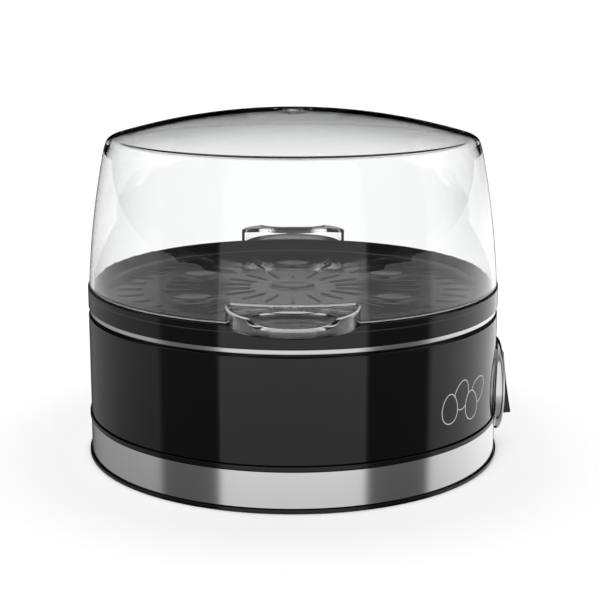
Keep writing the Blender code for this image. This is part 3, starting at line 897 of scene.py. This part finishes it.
def make_housing():
    """The gloss shell: wall, ledge with the seal's groove, screw bosses and openings."""
    low, high = heights("upper_housing")
    outer = radius("upper_housing")
    step = heights("trim_ring")[1] + 0.3
    shell = turned("gloss_housing", outline([
        (85.0, high, 0.4), (87.0, high, 0.2), (87.0, high - 1.3, 0.2), (89.5, high - 1.3, 0.2),
        (89.5, high, 0.2), (outer, high, 1.0), (outer, step, 0.3), (outer - 0.6, step, 0),
        (outer - 0.6, low, 0), (92.2, low, 0), (92.2, high - 2.5, 0), (85.0, high - 2.5, 0.4),
    ]))
    centres = [polar(BOSS_R, angle) for angle in BOSS_ANGLES]
    bosses = [moved(rod("boss", BOSS_SIZE, low, high - 2, 48), (*at, 0)) for at in centres]
    add(shell, merged("bosses", bosses))
    pilots = [moved(rod("pilot", PILOT_SIZE, low - 3, 18, 32), (*at, 0)) for at in centres]
    cut(shell, merged("pilots", pilots))
    gland = middle("cord_gland").z
    cut(shell, switch_opening("opening"), moved(rod("gland_hole", 6.3, 80, 100), (0, 0, gland), 'Y'))
    finished(shell, "base", "gloss_black", GLOSS, "upper_housing")


def make_bowl():
    """The pressed steel pan, with the bright rolled bead that shows under the tray."""
    low, high = heights("heating_bowl")
    bead_top = heights("egg_tray")[0] - 0.1
    flange = heights("upper_housing")[1] + 0.3
    sheet = 0.8
    bowl = turned("steel_bowl", outline([
        (0, low + sheet + 0.6, 0), (26, low + sheet + 0.6, 1.0), (28, low + sheet, 1.0),
        (84 - sheet, low + sheet, 4.2), (84 - sheet, flange + sheet, 1.0),
        (92 - sheet, flange + sheet, 0.8), (92 - sheet, high, 0.3), (92, high, 0.3),
        (92, bead_top, 0.2), (94.4, bead_top, 0.25), (94.4, bead_top - 2.3, 0.6), (92, bead_top - 2.3, 0.2),
        (92, flange, 0.3), (84, flange, 0.4), (84, low, 5.0), (28, low, 1.0), (26, low + 0.6, 1.0),
        (0, low + 0.6, 0),
    ]), closed=False)
    finished(bowl, "base", "polished_steel", POLISHED, "heating_bowl")


def make_gland():
    """The rubber bushing for the mains lead, with its grooves."""
    gland = turned("rubber_gland", outline([
        (3.3, 99.0, 0.4), (5.6, 99.0, 0.6), (7.0, 97.8, 0.6), (8.4, 97.0, 0.5), (8.4, 95.4, 0.3),
        (6.0, 95.4, 0), (6.0, 91.4, 0), (7.6, 91.4, 0.3), (7.6, 89.0, 0.3), (3.3, 89.0, 0.3),
    ]), SMALL)
    moved(gland, (0, 0, middle("cord_gland").z), 'Y')
    finished(gland, "base", "black_rubber", RUBBER, "cord_gland")


def make_bezel():
    """The silver disc of the switch: a dished face, a rounded rim, and a back that fits the body."""
    low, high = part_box("switch_bezel")
    face = high.x / MM
    size = (high.z - low.z) / 2 / MM
    centre = middle("switch_bezel").z
    bezel = turned("silver_bezel", outline([
        (0, face - 0.7, 0), (size - 5.5, face - 0.7, 1.5), (size - 3.6, face, 1.2), (size, face, 2.1),
        (size, 90, 0), (0, 90, 0),
    ]), 192, closed=False)
    moved(bezel, (0, 0, centre), 'X')
    cut(bezel, rod("body", 96.0, -20, 80, 512))
    across, up = COLLAR_HALF
    add(bezel, block("collar", (91.6, -across, centre - up), (face - 1.2, across, centre + up)))
    cut(bezel, block("mouth", (80, -8.6, centre - 17.4), (105, 8.6, centre + 17.4)))
    finished(bezel, "base", "satin_silver", SATIN, "switch_bezel")


def make_rocker():
    """The rocker: rounded, with a shallow valley across its face, and its lower end out."""
    half_length, half_width = 15.0, 8.0
    shares = [step / 8 - 1 for step in range(17)]
    face = [(11.9 + 0.5 * share - 0.4 * (1 - share * share), half_length * share) for share in shares]
    back = [(7.5, 14.5), (0.5, 6.0), (-3.0, 2.5), (-3.0, -2.5), (0.5, -6.0), (7.5, -14.5)]
    rocker = prism("black_rocker", face + back, -half_width, half_width, 0.7, 4)
    upright = Matrix.Rotation(math.pi / 2, 4, 'X')
    rocker.data.transform(Matrix.Rotation(ROCKER_TILT, 4, 'Y') @ upright)
    moved(rocker, ROCKER_PIVOT)
    cut(rocker, moved(rod("bore", 1.5, -12, 12, 32), ROCKER_PIVOT, 'Y'))
    finished(rocker, "rocker", "black_plastic", BLACK, "switch_rocker")


# Print on the body: plain egg outlines of our own.

EGG_LENGTH = 13.2
EGG_WIDTH = 10.4
PRINT_ANGLE = -36.8       # where the drawing's middle is round the body, in degrees,
PRINT_Z = 38.5            # and its height
LINE_WIDTH = 0.45
LINE_SINK = 0.02          # how far the lines reach into the shell,
LINE_RISE = 0.04          # and stand out of it

# Each egg's centre across and up from the drawing's middle, and its lean in degrees, from back to front.
EGGS = [(-5.0, 2.6, -24), (9.5, 2.0, -58), (-13.5, -2.0, 0), (3.0, -3.6, 12)]


def egg_outline(across, up, lean):
    """An egg's outline in the drawing: an ellipse whose upper half is drawn in, leaning by some degrees."""
    steps = 72
    turn = math.radians(lean)
    made = []
    for step in range(steps):
        angle = 2 * math.pi * step / steps
        rise = math.sin(angle)
        x, y = EGG_WIDTH / 2 * math.cos(angle) * (1 - 0.13 * rise), EGG_LENGTH / 2 * rise
        made.append((
            across + x * math.cos(turn) - y * math.sin(turn),
            up + x * math.sin(turn) + y * math.cos(turn),
        ))
    return made


def inside(point, polygon):
    """Whether a point lies inside a polygon."""
    x, y = point
    crossings = 0
    for (ax, ay), (bx, by) in zip(polygon, polygon[1:] + polygon[:1]):
        if (ay > y) != (by > y) and x < ax + (bx - ax) * (y - ay) / (by - ay):
            crossings += 1
    return crossings % 2 == 1


def line_sides(points, step):
    """The two points half a line's width to either side of an outline's point."""
    (ax, ay), (bx, by) = points[step - 1], points[(step + 1) % len(points)]
    size = math.hypot(bx - ax, by - ay)
    normal = ((by - ay) / size, (ax - bx) / size)
    x, y = points[step]
    return [
        (x + side * LINE_WIDTH / 2 * normal[0], y + side * LINE_WIDTH / 2 * normal[1])
        for side in (-1, 1)
    ]


def on_shell(x, y, lift):
    """A point of the drawing wrapped round the gloss shell, in metres."""
    shell = radius("upper_housing")
    angle = math.radians(PRINT_ANGLE) + x / shell
    reach = shell + lift
    return reach * math.cos(angle) * MM, reach * math.sin(angle) * MM, (PRINT_Z + y) * MM


def add_dash(shape, corners):
    """Adds one short bar of a printed line, between four corners."""
    low = [shape.verts.new(on_shell(x, y, -LINE_SINK)) for x, y in corners]
    high = [shape.verts.new(on_shell(x, y, LINE_RISE)) for x, y in corners]
    shape.faces.new(low)
    shape.faces.new(high)
    for side in range(4):
        there = (side + 1) % 4
        shape.faces.new((low[side], low[there], high[there], high[side]))


def make_print():
    """Thin light-grey lines wrapped on the gloss shell: four eggs, each one partly behind the next."""
    outlines = [egg_outline(*egg) for egg in EGGS]
    shape = bmesh.new()
    for rank, points in enumerate(outlines):
        hiding = outlines[rank + 1:]
        sides = [line_sides(points, step) for step in range(len(points))]
        for step, point in enumerate(points):
            if any(inside(point, other) for other in hiding):
                continue
            add_dash(shape, (*sides[step], *reversed(sides[(step + 1) % len(points)])))
    bmesh.ops.recalc_face_normals(shape, faces=shape.faces)
    printed = add_mesh("egg_print", shape)
    printed.data.materials.append(INK)
    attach(printed, "base")


def dress_inner_nodes():
    """Gives every CAD node the finish of its slot. The ones that a fine piece replaces aren't shown."""
    for part in frame["record"]["subparts"]:
        node = frame["nodes"][part["node"]]
        node.data.materials[0] = FINISHES[part["material_slot"]]


dress_inner_nodes()
make_lid()
make_tray()
make_cover()
make_pads()
make_screws()
make_steel_band()
make_trim_ring()
make_housing()
make_bowl()
make_gland()
make_bezel()
make_rocker()
make_print()


# Floor, light and camera.

FLOOR_HALF = 30.0         # half the floor's width, in metres
WHITE = 1.18              # what the camera and matt surfaces see
LOW_SKY = math.sin(math.radians(25))  # below this, rays that were never reflected see white too
CAMERA_PLACE = (0.0, -0.6412, 0.2133)  # in metres
CAMERA_PITCH = math.radians(77.349)

# How bright the studio is by direction: degrees round from the front, positive towards the switch.
STUDIO = [
    (-180, 0.02), (-170, 0.02), (-160, 0.12), (-150, 0.28), (-130, 0.38), (-79, 0.46), (-75.5, 0.13),
    (-41, 0.13), (-40, 0.95), (40, 0.95), (41, 0.13), (78, 0.13), (82, 0.8), (130, 1.15), (160, 1.2),
    (165, 0.1), (170, 0.02), (180, 0.02),
]

# How bright it is by height, as the sine of the elevation.
LEVELS = [(-0.68, 0.3), (-0.36, 0.64), (-0.33, 0.78), (-0.259, 1.0), (0.86, 1.0), (0.95, 0.03)]

# How bright it is behind the object, in degrees round from straight behind. The tray's floor reflects it.
BEHIND = [
    (-12, 0.05), (-9, 0.3), (-6, 0.12), (-5.4, 0.02), (-3.2, 0.02), (-3.0, 0.3), (3.0, 0.3),
    (3.2, 0.02), (5.5, 0.02), (6.5, 0.12), (9, 0.3), (12, 0.05),
]

# How bright it is there by height: a slit that the tray's floor reflects towards the front.
SLIT = [(0.14, 0.05), (0.165, 1.0), (0.255, 1.0), (0.29, 0.05)]


def make_floor():
    """A plain pale floor, which reflections don't see."""
    shape = bmesh.new()
    bmesh.ops.create_grid(shape, x_segments=1, y_segments=1, size=FLOOR_HALF)
    floor = add_mesh("floor", shape)
    made = Shader("pale_floor", Roughness=0.9, Specular_IOR_Level=0.0, Emission_Strength=0.11)
    made.surface.inputs['Emission Color'].default_value = (1.0, 1.0, 1.0, 1.0)
    made.feed('Base Color', made.mix(made.noise(3, 3), (0.86, 0.86, 0.86), (0.88, 0.88, 0.88)))
    floor.data.materials.append(made.material)
    floor.visible_glossy = False


class Sky:
    """The world under construction: its nodes, and the direction and kind of each ray."""

    def __init__(self):
        world = bpy.data.worlds.new("studio")
        bpy.context.scene.world = world
        world.use_nodes = True
        world.cycles.sampling_method = 'NONE'
        self.tree = world.node_tree
        self.tree.nodes.clear()
        direction = add_node(self.tree, 'ShaderNodeTexCoord').outputs['Generated']
        self.x, self.y, self.z = add_node(self.tree, 'ShaderNodeSeparateXYZ', {'Vector': direction}).outputs
        self.path = add_node(self.tree, 'ShaderNodeLightPath').outputs
        self.inside_lid = self.maths('GREATER_THAN', self.path['Transmission Depth'], 0.5)

    def maths(self, operation, first, second=0.0):
        """The result of one operation on two values."""
        return add_maths(self.tree, operation, first, second)

    def times(self, first, second):
        """Two values multiplied."""
        return self.maths('MULTIPLY', first, second)

    def fade(self, value, start, end, low=0.0, high=1.0):
        """A value that goes from low to high as another goes from a start to an end."""
        return add_range(self.tree, value, start, end, low, high)

    def blend(self, share, first, second):
        """A value between two."""
        made = add_node(self.tree, 'ShaderNodeMix', {0: share, 2: first, 3: second}, data_type='FLOAT')
        return made.outputs[0]

    def ramp(self, value, stops, start, end):
        """A brightness from a table of stops, for a value between a start and an end."""
        share = self.maths('DIVIDE', self.maths('SUBTRACT', value, start), end - start)
        made = add_node(self.tree, 'ShaderNodeValToRGB', {'Fac': share})
        elements = made.color_ramp.elements
        for index, (at, level) in enumerate(stops):
            place = (at - start) / (end - start)
            stop = elements[index] if index < 2 else elements.new(place)
            stop.position = place
            stop.color = (level, level, level, 1.0)
        return made.outputs['Color']


def wall_panels(sky):
    """The studio's walls, all round the object."""
    round_front = sky.maths('DEGREES', sky.maths('ARCTAN2', sky.x, sky.times(sky.y, -1.0)))
    return sky.times(sky.ramp(round_front, STUDIO, -180, 180), sky.ramp(sky.z, LEVELS, -1, 1))


def back_panels(sky):
    """The panels behind the object, which are dim to a ray that has not passed through the lid."""
    outside = 0.08
    round_back = sky.maths('DEGREES', sky.maths('ARCTAN2', sky.x, sky.y))
    slit = sky.times(sky.ramp(round_back, BEHIND, -15, 15), sky.ramp(sky.z, SLIT, -1, 1))
    return sky.times(slit, sky.maths('MAXIMUM', sky.inside_lid, outside))


def overhead_lamp(sky):
    """A soft lamp above, which reaches lower for a ray that has passed through the lid."""
    zenith = sky.fade(sky.z, 0.66, 0.8)
    lower = sky.times(sky.inside_lid, sky.fade(sky.z, 0.34, 0.5))
    softbox = sky.fade(sky.y, -0.3, 0.5, 0.12, 0.8)
    return sky.times(softbox, sky.maths('MAXIMUM', zenith, lower))


def studio(sky):
    """What reflections see: the walls, the panels behind, and the lamp."""
    darkest = 0.97
    rearward = sky.fade(sky.y, -0.1, 0.3)
    above = sky.fade(sky.z, -0.12, -0.02)
    panels = sky.blend(sky.times(rearward, above), wall_panels(sky), back_panels(sky))
    upward = sky.times(sky.maths('GREATER_THAN', sky.z, 0.03), sky.maths('LESS_THAN', sky.y, 0.2))
    glare = sky.times(sky.inside_lid, upward)
    calm = sky.times(panels, sky.maths('SUBTRACT', 1.0, sky.times(glare, darkest)))
    return sky.maths('MAXIMUM', calm, overhead_lamp(sky))


def make_world():
    """White light on everything matt, and soft panels round the object for its reflections."""
    sky = Sky()
    matt = sky.maths('GREATER_THAN', sky.path['Diffuse Depth'], 0.5)
    unbent = sky.maths('LESS_THAN', sky.path['Glossy Depth'], 0.5)
    through = sky.times(unbent, sky.maths('LESS_THAN', sky.z, LOW_SKY))
    white = sky.maths('MAXIMUM', sky.maths('MAXIMUM', matt, sky.path['Is Camera Ray']), through)
    brightness = sky.blend(white, studio(sky), WHITE)
    shade = add_node(sky.tree, 'ShaderNodeBackground', {'Color': brightness, 'Strength': 1.0})
    add_node(sky.tree, 'ShaderNodeOutputWorld', {0: shade.outputs[0]})


def make_camera():
    """The camera, in front of the cooker and a little above it."""
    data = bpy.data.cameras.new("camera")
    data.lens = 84.0
    data.sensor_width = 36.0
    data.shift_x = 0.0117
    data.clip_end = 100.0
    camera = bpy.data.objects.new("camera", data)
    camera.location = CAMERA_PLACE
    camera.rotation_euler = (CAMERA_PITCH, 0.0, 0.0)
    bpy.context.scene.collection.objects.link(camera)
    bpy.context.scene.camera = camera
    bpy.context.scene.view_settings.view_transform = 'Standard'


make_floor()
make_world()
make_camera()
